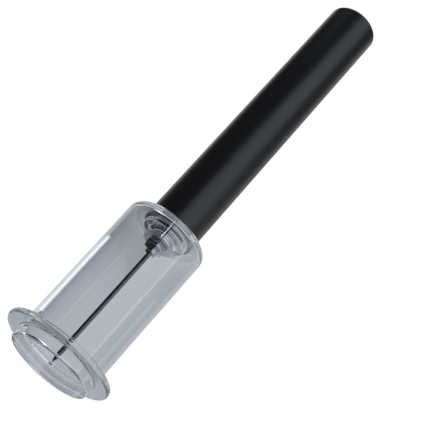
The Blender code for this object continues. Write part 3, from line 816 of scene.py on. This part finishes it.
@dataclass
class NeedleUnit:
    """The hollow needle, the hub that holds it and the washer above the hub."""

    point_length: float = 3.0 * MM
    bore: float = 0.5 * MM
    bore_end: float = 4.2 * MM
    port_rise: float = 5.2 * MM
    port_radius: float = 0.4 * MM
    boss_radius: float = 2.4 * MM
    boss_length: float = 2.6 * MM
    shank_radius: float = 2.9 * MM
    shank_length: float = 3.4 * MM
    needle_socket: float = 1.05 * MM
    seat_depth: float = 3.7 * MM
    duct: float = 0.7 * MM
    washer_bore: float = 3.0 * MM
    hex_edge: float = 0.15 * MM
    hex_steps: int = 3
    edge: float = 0.2 * MM

    def build(self, shop: Workshop) -> None:
        """Make the three pieces and deliver them.

        Args:
            shop: What makes and finishes the pieces.
        """
        self.needle(shop)
        self.hub(shop)
        self.washer(shop)

    def needle(self, shop: Workshop) -> None:
        """Turn the needle, bore it and drill its side port.

        Args:
            shop: What makes and finishes the pieces.
        """
        lowest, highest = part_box("needle")
        tip, top, radius = lowest.z, highest.z, highest.x
        corners = [
            Corner(0.0, tip + self.bore_end),
            Corner(self.bore, tip + self.bore_end),
            Corner(self.bore, top, self.edge / 4, steps=2),
            Corner(radius, top, self.edge / 2, steps=2),
            Corner(radius, tip + self.point_length, self.edge, steps=3),
            Corner(0.0, tip),
        ]
        piece = shop.make_object("needle_ground", shop.turn(corners, NARROW_SEGMENTS))
        drill = shop.rod(self.port_radius, 2 * radius, SMALL_SEGMENTS)
        bmesh.ops.rotate(drill, verts=drill.verts, matrix=Matrix.Rotation(math.pi / 2, 3, "Y"))
        middle = Vector((radius, 0.0, tip + self.port_rise))
        bmesh.ops.translate(drill, verts=drill.verts, vec=middle)
        shop.cut(piece, shop.make_object("port_drill", drill), "DIFFERENCE")
        shop.deliver(piece, Slot.STEEL, Body.STEM, "needle")
        piece.data.materials[0] = shop.needle_material

    def hub(self, shop: Workshop) -> None:
        """Join the turned boss and shank to the hexagon, and bore them.

        Args:
            shop: What makes and finishes the pieces.
        """
        lowest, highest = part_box("needle_hub")
        hex_bottom = lowest.z + self.boss_length
        hex_top = highest.z - self.shank_length
        turned = [
            Corner(0.0, highest.z),
            Corner(self.shank_radius, highest.z, self.edge),
            Corner(self.shank_radius, hex_bottom),
            Corner(self.boss_radius, hex_bottom),
            Corner(self.boss_radius, lowest.z, self.edge),
            Corner(0.0, lowest.z),
        ]
        piece = shop.make_object("needle_hub_plated", shop.turn(turned, NARROW_SEGMENTS))
        hexagon = shop.rod(highest.y, hex_top - hex_bottom, HEXAGON_SIDES)
        middle = Vector((0.0, 0.0, (hex_bottom + hex_top) / 2))
        bmesh.ops.translate(hexagon, verts=hexagon.verts, vec=middle)
        bmesh.ops.bevel(
            hexagon,
            geom=hexagon.edges[:],
            offset=self.hex_edge,
            offset_type="OFFSET",
            segments=self.hex_steps,
            profile=0.5,
            affect="EDGES",
            material=-1,
        )
        shop.cut(piece, shop.make_object("hub_hexagon", hexagon), "UNION")
        bored = [
            Corner(0.0, highest.z + CUT_OVERRUN),
            Corner(self.duct, highest.z + CUT_OVERRUN),
            Corner(self.duct, lowest.z + self.seat_depth),
            Corner(self.needle_socket, lowest.z + self.seat_depth),
            Corner(self.needle_socket, lowest.z - CUT_OVERRUN),
            Corner(0.0, lowest.z - CUT_OVERRUN),
        ]
        drill = shop.make_object("hub_drill", shop.turn(bored, NARROW_SEGMENTS))
        shop.cut(piece, drill, "DIFFERENCE")
        shop.deliver(piece, Slot.CHROME, Body.STEM, "needle_hub")

    def washer(self, shop: Workshop) -> None:
        """Turn the thin washer.

        Args:
            shop: What makes and finishes the pieces.
        """
        lowest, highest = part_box("hub_washer")
        corners = shop.ring(self.washer_bore, highest.x, lowest.z, highest.z, self.edge / 2)
        piece = shop.make_object("hub_washer_plated", shop.turn(corners, WIDE_SEGMENTS))
        shop.deliver(piece, Slot.CHROME, Body.STEM, "hub_washer")
        piece.data.materials[0] = shop.washer_material


@dataclass
class PumpStem:
    """What stays with the pump when the cup comes off: base, O-rings, valve spring, cylinder."""

    plug_radius: float = 7.0 * MM
    flange_height: float = 1.6 * MM
    spigot_radius: float = 7.2 * MM
    nose_radius: float = 5.5 * MM
    nose_height: float = 2.7 * MM
    chamber_radius: float = 3.2 * MM
    outlet_radius: float = 1.0 * MM
    outlet_length: float = 2.2 * MM
    o_ring_section: float = 1.3 * MM
    groove_gap: float = 0.3 * MM
    cylinder_bore: float = 7.3 * MM
    spring_wire: float = 0.25 * MM
    spring_turns: int = 4
    spring_seat: float = 0.3 * MM
    valve_travel: float = 0.8 * MM
    edge: float = 0.25 * MM

    def build(self, shop: Workshop) -> None:
        """Make the pieces and deliver them.

        Args:
            shop: What makes and finishes the pieces.
        """
        self.base(shop)
        self.o_ring(shop, "spigot_o_ring")
        self.o_ring(shop, "base_o_ring")
        self.spring(shop)
        self.cylinder(shop)

    def groove(self, radius: float, ring_node: str) -> list[Corner]:
        """Lay out an O-ring's groove, down an outer side.

        Args:
            radius: Radius of the side that holds the groove.
            ring_node: The frame node of the ring that lies in it.

        Returns:
            The groove's corners.
        """
        lowest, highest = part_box(ring_node)
        floor_radius = highest.x - self.o_ring_section - self.groove_gap
        top = highest.z + self.groove_gap
        bottom = lowest.z - self.groove_gap
        small = self.edge / 3
        return [
            Corner(radius, top, small, steps=2),
            Corner(floor_radius, top),
            Corner(floor_radius, bottom),
            Corner(radius, bottom, small, steps=2),
        ]

    def base(self, shop: Workshop) -> None:
        """Turn the base: plug, flange, spigot and nose round the valve's chamber.

        Args:
            shop: What makes and finishes the pieces.
        """
        lowest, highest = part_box("pump_base")
        flange_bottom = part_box("guide_cup")[1].z + self.groove_gap
        flange_top = flange_bottom + self.flange_height
        spigot_bottom = lowest.z + self.nose_height
        chamber_top = highest.z - self.outlet_length
        corners = [
            Corner(self.outlet_radius, highest.z, self.edge / 2),
            Corner(self.plug_radius, highest.z, self.edge),
            *self.groove(self.plug_radius, "base_o_ring"),
            Corner(self.plug_radius, flange_top),
            Corner(highest.x, flange_top, self.edge),
            Corner(highest.x, flange_bottom, self.edge / 2),
            Corner(self.spigot_radius, flange_bottom),
            *self.groove(self.spigot_radius, "spigot_o_ring"),
            Corner(self.spigot_radius, spigot_bottom, self.edge),
            Corner(self.nose_radius, spigot_bottom),
            Corner(self.nose_radius, lowest.z, self.edge),
            Corner(self.chamber_radius, lowest.z, self.edge / 2),
            Corner(self.chamber_radius, chamber_top),
            Corner(self.outlet_radius, chamber_top),
        ]
        piece = shop.make_object("pump_base_plated", shop.turn(corners, WIDE_SEGMENTS))
        shop.deliver(piece, Slot.CHROME, Body.STEM, "pump_base")
        piece.data.materials[0] = shop.base_material

    def o_ring(self, shop: Workshop, node: str) -> None:
        """Spin an O-ring's round section.

        Args:
            shop: What makes and finishes the pieces.
            node: The ring's frame node.
        """
        lowest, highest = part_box(node)
        section_radius = self.o_ring_section / 2
        middle = Vector((highest.x - section_radius, 0.0, (lowest.z + highest.z) / 2))
        shape = shop.round_section(section_radius, middle, SMALL_SEGMENTS)
        shop.spin(shape, WIDE_SEGMENTS)
        bmesh.ops.recalc_face_normals(shape, faces=shape.faces)
        piece = shop.make_object(f"{node}_moulded", shape)
        shop.deliver(piece, Slot.RUBBER, Body.STEM, node)

    def spring(self, shop: Workshop) -> None:
        """Wind the valve's spring at the frame's length. In use it shortens as the ball comes down
        towards it.

        Args:
            shop: What makes and finishes the pieces.
        """
        lowest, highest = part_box("valve_spring")
        wire = self.spring_wire
        middle = Vector((min(highest.x, highest.y) - wire, 0.0, lowest.z + wire))
        shape = shop.round_section(wire, middle, WIRE_SEGMENTS)
        turns = self.spring_turns
        rise = highest.z - lowest.z - 2 * wire
        shop.spin(shape, NARROW_SEGMENTS * turns, turns, rise)
        ends = [edge for edge in shape.edges if edge.is_boundary]
        bmesh.ops.holes_fill(shape, edges=ends, sides=0)
        bmesh.ops.recalc_face_normals(shape, faces=shape.faces)
        piece = shop.make_object("valve_spring_wound", shape)
        shop.deliver(piece, Slot.STEEL, Body.STEM, "valve_spring")
        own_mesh(piece)

    def cylinder(self, shop: Workshop) -> None:
        """Turn the pump's cylinder.

        Args:
            shop: What makes and finishes the pieces.
        """
        lowest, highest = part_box("pump_cylinder")
        corners = shop.ring(self.cylinder_bore, highest.x, lowest.z, highest.z, self.edge / 2)
        piece = shop.make_object("pump_cylinder_drawn", shop.turn(corners, WIDE_SEGMENTS))
        shop.deliver(piece, Slot.ALUMINIUM, Body.STEM, "pump_cylinder")


@dataclass
class Handle:
    """The black handle: its tube and the rounded cap that closes it."""

    wall: float = 1.3 * MM
    mouth_edge: float = 0.25 * MM
    seam: float = 0.05 * MM
    seam_edge: float = 0.08 * MM
    cap_fillet: float = 1.7 * MM
    cap_plate: float = 2.6 * MM
    plug_gap: float = 0.3 * MM
    plug_length: float = 6.0 * MM
    plug_wall: float = 1.4 * MM
    boss_radius: float = 4.6 * MM
    boss_bore: float = 2.8 * MM
    boss_length: float = 10.0 * MM
    cap_height: float = 9.6 * MM

    def build(self, shop: Workshop) -> None:
        """Make the tube and the cap and deliver them.

        Args:
            shop: What makes and finishes the pieces.
        """
        lowest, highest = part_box("handle_tube")
        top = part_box("handle_end_cap")[1].z
        seam_level = top - self.cap_height
        radius = highest.x
        bore = radius - self.wall
        tube = [
            Corner(bore, seam_level - self.seam),
            Corner(radius, seam_level - self.seam, self.seam_edge, steps=2),
            Corner(radius, lowest.z, self.mouth_edge),
            Corner(bore, lowest.z, self.mouth_edge),
        ]
        piece = shop.make_object("handle_tube_shell", shop.turn(tube, WIDE_SEGMENTS))
        shop.deliver(piece, Slot.BLACK, Body.HANDLE, "handle_tube")

        plug = bore - self.plug_gap
        plug_bore = plug - self.plug_wall
        plate = top - self.cap_plate
        boss_bottom = plate - self.boss_length
        cap = [
            Corner(0.0, top),
            Corner(radius, top, self.cap_fillet, steps=12),
            Corner(radius, seam_level, self.seam_edge, steps=2),
            Corner(plug, seam_level),
            Corner(plug, seam_level - self.plug_length, self.mouth_edge),
            Corner(plug_bore, seam_level - self.plug_length, self.mouth_edge),
            Corner(plug_bore, plate),
            Corner(self.boss_radius, plate),
            Corner(self.boss_radius, boss_bottom),
            Corner(self.boss_bore, boss_bottom),
            Corner(self.boss_bore, plate),
            Corner(0.0, plate),
        ]
        piece = shop.make_object("handle_end_cap_shell", shop.turn(cap, WIDE_SEGMENTS))
        shop.deliver(piece, Slot.BLACK, Body.HANDLE, "handle_end_cap")


@dataclass
class KeptPieces:
    """The inner pieces whose frame meshes stay as they are."""

    def build(self, shop: Workshop, nodes: Mapping[str, bpy.types.Object]) -> None:
        """Dress each of them.

        Args:
            shop: What makes and finishes the pieces.
            nodes: The frame's nodes by name.
        """
        finishes = {
            Slot.STEEL: (
                "valve_ball", "piston_rod", "rod_lock_nut", "piston_screw", "seal_washer",
            ),
            Slot.RUBBER: ("valve_seat", "piston_seal", "pull_buffer", "push_buffer"),
            Slot.GREY: ("cylinder_cap", "piston_head", "guide_bush"),
        }
        for slot, names in finishes.items():
            for name in names:
                shop.dress_node(nodes, name, slot)


@dataclass(frozen=True)
class Softbox:
    """A soft lamp, by the angles that it spans as seen from the object's axis.

    Bearings are in degrees round the axis from the camera's side, and rise in degrees above a
    height on the axis. A level of 1 is as bright as white paper.
    """

    name: str
    left: float
    right: float
    bottom: float
    top: float
    distance: float
    height: float
    level: float
    colour: Triple = (0.89, 1.0, 1.09)


@dataclass
class Studio:
    """The floor, the lamps, the world and the camera.

    The camera sees white. Clear plastic and metal see greys, which are lighter on the right and
    darker on the left, so that the object's edges stand out.
    """

    target: Vector = Vector((12.95 * MM, 0.0, 91.5 * MM))
    distance: float = 439.8 * MM
    elevation: float = math.radians(-26.93)
    roll: float = math.radians(41.13)
    lens: float = 86.16
    bounces: int = 128
    transparent_bounces: int = 16

    floor_size: float = 6.0
    floor_level: float = -0.2 * MM
    floor_colour: str = "#ececec"
    floor_roughness: float = 0.9
    # Painted shadow for what mirrors the floor or is seen through to it: grey level by distance from
    # the axis in millimetres, on either side of the camera's line
    floor_shadow_levels: Levels = (
        (0.0, 0.55), (60.0, 0.55), (80.0, 0.45), (140.0, 0.45), (146.0, 1.0), (300.0, 1.0),
    )
    floor_shadow_levels_left: Levels = (
        (0.0, 0.25), (19.0, 0.25), (21.0, 0.5), (60.0, 0.5), (80.0, 0.03), (158.0, 0.03),
        (162.0, 0.45), (300.0, 1.0),
    )
    across_view: Triple = (1.0, 0.0335, 0.0)
    side_blend: float = 0.5 * MM
    # How far the floor turns white for the camera, by the same distance as a share
    sweep_shares: Levels = ((0.0, 0.5), (0.35, 0.55), (1.0, 1.0))

    # Grey level by bearing in degrees, in what is mirrored by the cup, its roof and the handle
    cup_levels: Levels = (
        (-180.0, 0.68), (-165.0, 0.72), (-150.0, 1.0), (-136.0, 1.0), (-131.0, 0.12), (-70.0, 0.12),
        (-60.0, 0.03), (-4.0, 0.03), (1.5, 0.25), (56.0, 0.25), (60.0, 0.76), (112.0, 0.76),
        (128.0, 0.6), (140.0, 0.6), (180.0, 0.68),
    )
    roof_levels: Levels = (
        (-180.0, 0.68), (-165.0, 0.7), (-150.0, 0.62), (-136.0, 0.5), (-131.0, 0.3), (-110.0, 0.1),
        (-60.0, 0.03), (-4.0, 0.03), (1.5, 0.25), (56.0, 0.25), (60.0, 0.76), (112.0, 0.76),
        (128.0, 0.6), (140.0, 0.6), (180.0, 0.68),
    )
    handle_levels: Levels = (
        (-180.0, 0.68), (-165.0, 0.72), (-150.0, 1.0), (-136.0, 1.0), (-131.0, 0.03), (-4.0, 0.03),
        (1.5, 0.25), (58.0, 0.25), (66.0, 0.08), (105.0, 0.08), (128.0, 0.6), (140.0, 0.66),
        (180.0, 0.68),
    )
    # Shares by elevation in degrees: where these levels hold, and which of the three
    band_shares: Levels = (
        (-90.0, 0.0), (0.0, 0.0), (4.0, 1.0), (58.0, 1.0), (66.0, 0.0), (90.0, 0.0),
    )
    roof_shares: Levels = ((-90.0, 0.0), (21.8, 0.0), (22.4, 1.0), (90.0, 1.0))
    handle_shares: Levels = ((-90.0, 0.0), (25.0, 0.0), (25.8, 1.0), (90.0, 1.0))
    mirrored_rest: float = 0.8
    # Glossy depths that count as mirrored: 1 and 2
    mirror_depth: float = 1.5
    mirror_reach: float = 0.9

    # What shows straight through the plastic, with its edges as parts of the unit direction
    straight_level: float = 0.68
    straight_level_left: float = 0.54
    straight_colour_low: str = "#bfc2c9"
    left_edge: tuple[float, float] = (-0.026, -0.034)
    high_edge: tuple[float, float] = (0.335, 0.4)
    low_edge: tuple[float, float] = (0.296, 0.282)
    fill_level: float = 0.55

    softboxes: tuple[Softbox, ...] = (
        Softbox("key_softbox", 2.0, 58.0, 2.0, 55.0, 0.9, 0.1, 1.02),
        Softbox("split_strip", -5.4, -3.2, 22.9, 31.0, 0.85, 0.068, 10.0),
        Softbox("side_strip", 61.5, 66.5, 8.0, 28.0, 0.85, 0.04, 2.2),
        Softbox("rim_strip", -133.0, -120.5, 15.0, 22.9, 0.8, 0.04, 1.9),
        Softbox("top_softbox_left", -120.0, -60.0, 60.0, 68.0, 0.5, 0.0, 2.0),
    )

    def build(self) -> None:
        """Set up the whole studio."""
        self.camera()
        self.floor()
        self.world()
        self.lamps()
        self.render_settings()

    def camera(self) -> None:
        """Stand the camera where the photograph was taken, below the rim and rolled."""
        forward = Vector((0.0, math.cos(self.elevation), -math.sin(self.elevation)))
        data = bpy.data.cameras.new("camera")
        data.lens = self.lens
        camera = bpy.data.objects.new("camera", data)
        camera.location = self.target - forward * self.distance
        turn = forward.to_track_quat("-Z", "Y") @ Quaternion((0.0, 0.0, 1.0), self.roll)
        camera.rotation_euler = turn.to_euler()
        bpy.context.scene.collection.objects.link(camera)
        bpy.context.scene.camera = camera

    def ray_shares(self, tree: bpy.types.NodeTree) -> dict[str, bpy.types.NodeSocket]:
        """Tell the rays that arrive apart.

        Args:
            tree: The nodes of what they arrive at.

        Returns:
            A share of 1 by name for rays straight from the camera, for those that a sharp surface
            mirrored or let through, and for those that were mirrored once or twice.
        """
        path = add_node(tree, "ShaderNodeLightPath").outputs
        sharp = {
            "operation": "ADD",
            "use_clamp": True,
            0: path["Is Glossy Ray"],
            1: path["Is Transmission Ray"],
        }
        mirrored = {
            "operation": "COMPARE",
            0: path["Glossy Depth"],
            1: self.mirror_depth,
            2: self.mirror_reach,
        }
        return {
            "camera": path["Is Camera Ray"],
            "sharp": add_node(tree, "ShaderNodeMath", sharp).outputs["Value"],
            "mirrored": add_node(tree, "ShaderNodeMath", mirrored).outputs["Value"],
        }

    def floor(self) -> None:
        """Lay a pale floor that shows only from above and takes the object's shadow."""
        shape = bmesh.new()
        bmesh.ops.create_grid(shape, x_segments=1, y_segments=1, size=self.floor_size / 2)
        bmesh.ops.translate(shape, verts=shape.verts, vec=(0.0, 0.0, self.floor_level))
        mesh = bpy.data.meshes.new("floor")
        shape.to_mesh(mesh)
        shape.free()
        mesh.materials.append(self.floor_paint())
        floor = bpy.data.objects.new("floor", mesh)
        bpy.context.scene.collection.objects.link(floor)

    def floor_paint(self) -> bpy.types.Material:
        """Make the floor's matt paint.

        It glows in greys of painted shadow for what mirrors it or is seen through, darker near the
        object and on the left, turns white for the camera further out, and can't be seen from below.

        Returns:
            The new material.
        """
        material = bpy.data.materials.new("painted_studio_floor")
        material.use_nodes = True
        tree = material.node_tree
        shader = tree.nodes["Principled BSDF"]
        shader.inputs["Base Color"].default_value = linear_colour(self.floor_colour)
        shader.inputs["Roughness"].default_value = self.floor_roughness
        shares = self.ray_shares(tree)
        place = add_node(tree, "ShaderNodeTexCoord").outputs["Object"]
        reach = self.floor_shadow_levels[-1][0]
        away = {"operation": "LENGTH", 0: place}
        across = {"operation": "DOT_PRODUCT", 0: place, 1: self.across_view}
        for name, measure, start, end in (
            ("away", away, 0.0, reach * MM),
            ("left", across, self.side_blend, -self.side_blend),
        ):
            distance = add_node(tree, "ShaderNodeVectorMath", measure).outputs["Value"]
            ends = {"From Min": start, "From Max": end, "Value": distance}
            shares[name] = add_node(tree, "ShaderNodeMapRange", ends).outputs["Result"]
        right, left, sweep = (
            lay_ramp(
                add_node(tree, "ShaderNodeValToRGB", {"Fac": shares["away"]}),
                [(distance / length, level) for distance, level in levels],
            )
            for levels, length in (
                (self.floor_shadow_levels, reach), (self.floor_shadow_levels_left, reach), (self.sweep_shares, 1.0),
            )
        )
        ends = {MIX_SHARE: shares["left"], MIX_FIRST: right, MIX_SECOND: left}
        level = add_node(tree, "ShaderNodeMix", {"data_type": "RGBA", **ends}).outputs[MIX_RESULT]
        straight = grey(self.straight_level)
        ends = {MIX_SHARE: shares["mirrored"], MIX_FIRST: straight, MIX_SECOND: level}
        level = add_node(tree, "ShaderNodeMix", {"data_type": "RGBA", **ends}).outputs[MIX_RESULT]
        # Painted shadow: greys that glow only for rays that a sharp surface mirrored or let through
        painted_floor_shadow = add_node(tree, "ShaderNodeEmission", {"Color": level})
        white = add_node(tree, "ShaderNodeEmission", {"Color": grey(1.0)})
        in_view = add_node(
            tree, "ShaderNodeMath", {"operation": "MULTIPLY", 0: shares["camera"], 1: sweep}
        )
        side = add_node(tree, "ShaderNodeNewGeometry")
        clear = add_node(tree, "ShaderNodeBsdfTransparent")
        surface = shader.outputs["BSDF"]
        for share, other in (
            (shares["sharp"], painted_floor_shadow.outputs["Emission"]),
            (in_view.outputs["Value"], white.outputs["Emission"]),
            (side.outputs["Backfacing"], clear.outputs["BSDF"]),
        ):
            ends = {0: share, 1: surface, 2: other}
            surface = add_node(tree, "ShaderNodeMixShader", ends).outputs["Shader"]
        tree.links.new(surface, tree.nodes["Material Output"].inputs["Surface"])
        return material

    def world(self) -> None:
        """Surround the object: white for the camera, and in greys for plastic and metal."""
        world = bpy.data.worlds.new("studio")
        bpy.context.scene.world = world
        world.use_nodes = True
        tree = world.node_tree
        direction = add_node(tree, "ShaderNodeTexCoord").outputs["Generated"]
        parts = add_node(tree, "ShaderNodeSeparateXYZ", {"Vector": direction}).outputs
        nearness = {"operation": "MULTIPLY", 0: parts["Y"], 1: -1.0}
        toward_camera = add_node(tree, "ShaderNodeMath", nearness).outputs["Value"]
        angle = {"operation": "ARCTAN2", 0: parts["X"], 1: toward_camera}
        bearing = add_node(tree, "ShaderNodeMath", angle).outputs["Value"]
        shares = self.ray_shares(tree)
        for name, source, start, end in (
            ("bearing", bearing, -math.pi, math.pi),
            ("rise", parts["Z"], -1.0, 1.0),
            ("left", parts["X"], *self.left_edge),
            ("high", parts["Z"], *self.high_edge),
            ("low", parts["Z"], *self.low_edge),
        ):
            ends = {"From Min": start, "From Max": end, "Value": source}
            shares[name] = add_node(tree, "ShaderNodeMapRange", ends).outputs["Result"]
        both = {"operation": "MULTIPLY", 0: shares["left"], 1: shares["high"]}
        shares["left high"] = add_node(tree, "ShaderNodeMath", both).outputs["Value"]
        for name, levels in (
            ("band", self.band_shares), ("roof", self.roof_shares), ("handle", self.handle_shares),
        ):
            ramp = add_node(tree, "ShaderNodeValToRGB", {"Fac": shares["rise"]})
            stops = [((math.sin(math.radians(degrees)) + 1) / 2, share) for degrees, share in levels]
            shares[name] = lay_ramp(ramp, stops)
        colours = {
            "rest": grey(self.mirrored_rest),
            "fill": grey(self.fill_level),
            "white": grey(1.0),
            "straight": grey(self.straight_level),
            "straight left": grey(self.straight_level_left),
            "straight low": linear_colour(self.straight_colour_low),
        }
        for name, levels in (
            ("cup", self.cup_levels), ("roof", self.roof_levels), ("handle", self.handle_levels),
        ):
            ramp = add_node(tree, "ShaderNodeValToRGB", {"Fac": shares["bearing"]})
            colours[name] = lay_ramp(ramp, [(degrees / 360 + 0.5, level) for degrees, level in levels])
        # Each line mixes its second colour over its first, by a share
        for name, share, first, second in (
            ("below handle", "roof", "cup", "roof"),
            ("round", "handle", "below handle", "handle"),
            ("around", "band", "rest", "round"),
            ("straight", "left high", "straight", "straight left"),
            ("straight", "low", "straight", "straight low"),
            ("surround", "mirrored", "straight", "around"),
            ("lit", "sharp", "fill", "surround"),
            ("seen", "camera", "lit", "white"),
        ):
            ends = {
                MIX_SHARE: shares[share], MIX_FIRST: colours[first], MIX_SECOND: colours[second],
            }
            mix = add_node(tree, "ShaderNodeMix", {"data_type": "RGBA", **ends})
            colours[name] = mix.outputs[MIX_RESULT]
        tree.links.new(colours["seen"], tree.nodes["Background"].inputs["Color"])

    def lamps(self) -> None:
        """Hang the lamps."""
        for lamp in self.softboxes:
            self.hang(lamp)

    def hang(self, lamp: Softbox) -> None:
        """Hang one softbox facing the object.

        Args:
            lamp: The softbox.
        """
        data = bpy.data.lights.new(lamp.name, "AREA")
        data.shape = "RECTANGLE"
        turn = (lamp.right - lamp.left) / 2
        data.size = 2 * lamp.distance * math.tan(math.radians(turn))
        low = lamp.distance * math.tan(math.radians(lamp.bottom))
        high = lamp.distance * math.tan(math.radians(lamp.top))
        data.size_y = high - low
        data.energy = lamp.level * math.pi * data.size * data.size_y
        data.color = lamp.colour
        place = bpy.data.objects.new(lamp.name, data)
        bearing = math.radians((lamp.left + lamp.right) / 2)
        out = Vector((math.sin(bearing), -math.cos(bearing), 0.0))
        place.location = out * lamp.distance + Vector((0.0, 0.0, lamp.height + (low + high) / 2))
        place.rotation_euler = (-out).to_track_quat("-Z", "Y").to_euler()
        place.visible_camera = False
        bpy.context.scene.collection.objects.link(place)

    def render_settings(self) -> None:
        """Set how colours are shown and how far light is followed through the clear cup."""
        scene = bpy.context.scene
        scene.view_settings.view_transform = "Standard"
        scene.cycles.use_denoising = True
        scene.cycles.max_bounces = self.bounces
        scene.cycles.transmission_bounces = self.bounces
        scene.cycles.glossy_bounces = self.bounces
        scene.cycles.transparent_max_bounces = self.transparent_bounces


def main() -> None:
    """Load the frame, dress it and set up the studio."""
    logging.basicConfig(level=logging.INFO, format="%(message)s")
    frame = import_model()
    shop = Workshop()
    Studio().build()
    GuideCup().build(shop)
    NeedleUnit().build(shop)
    PumpStem().build(shop)
    Handle().build(shop)
    KeptPieces().build(shop, frame["nodes"])


if __name__ == "__main__":
    main()
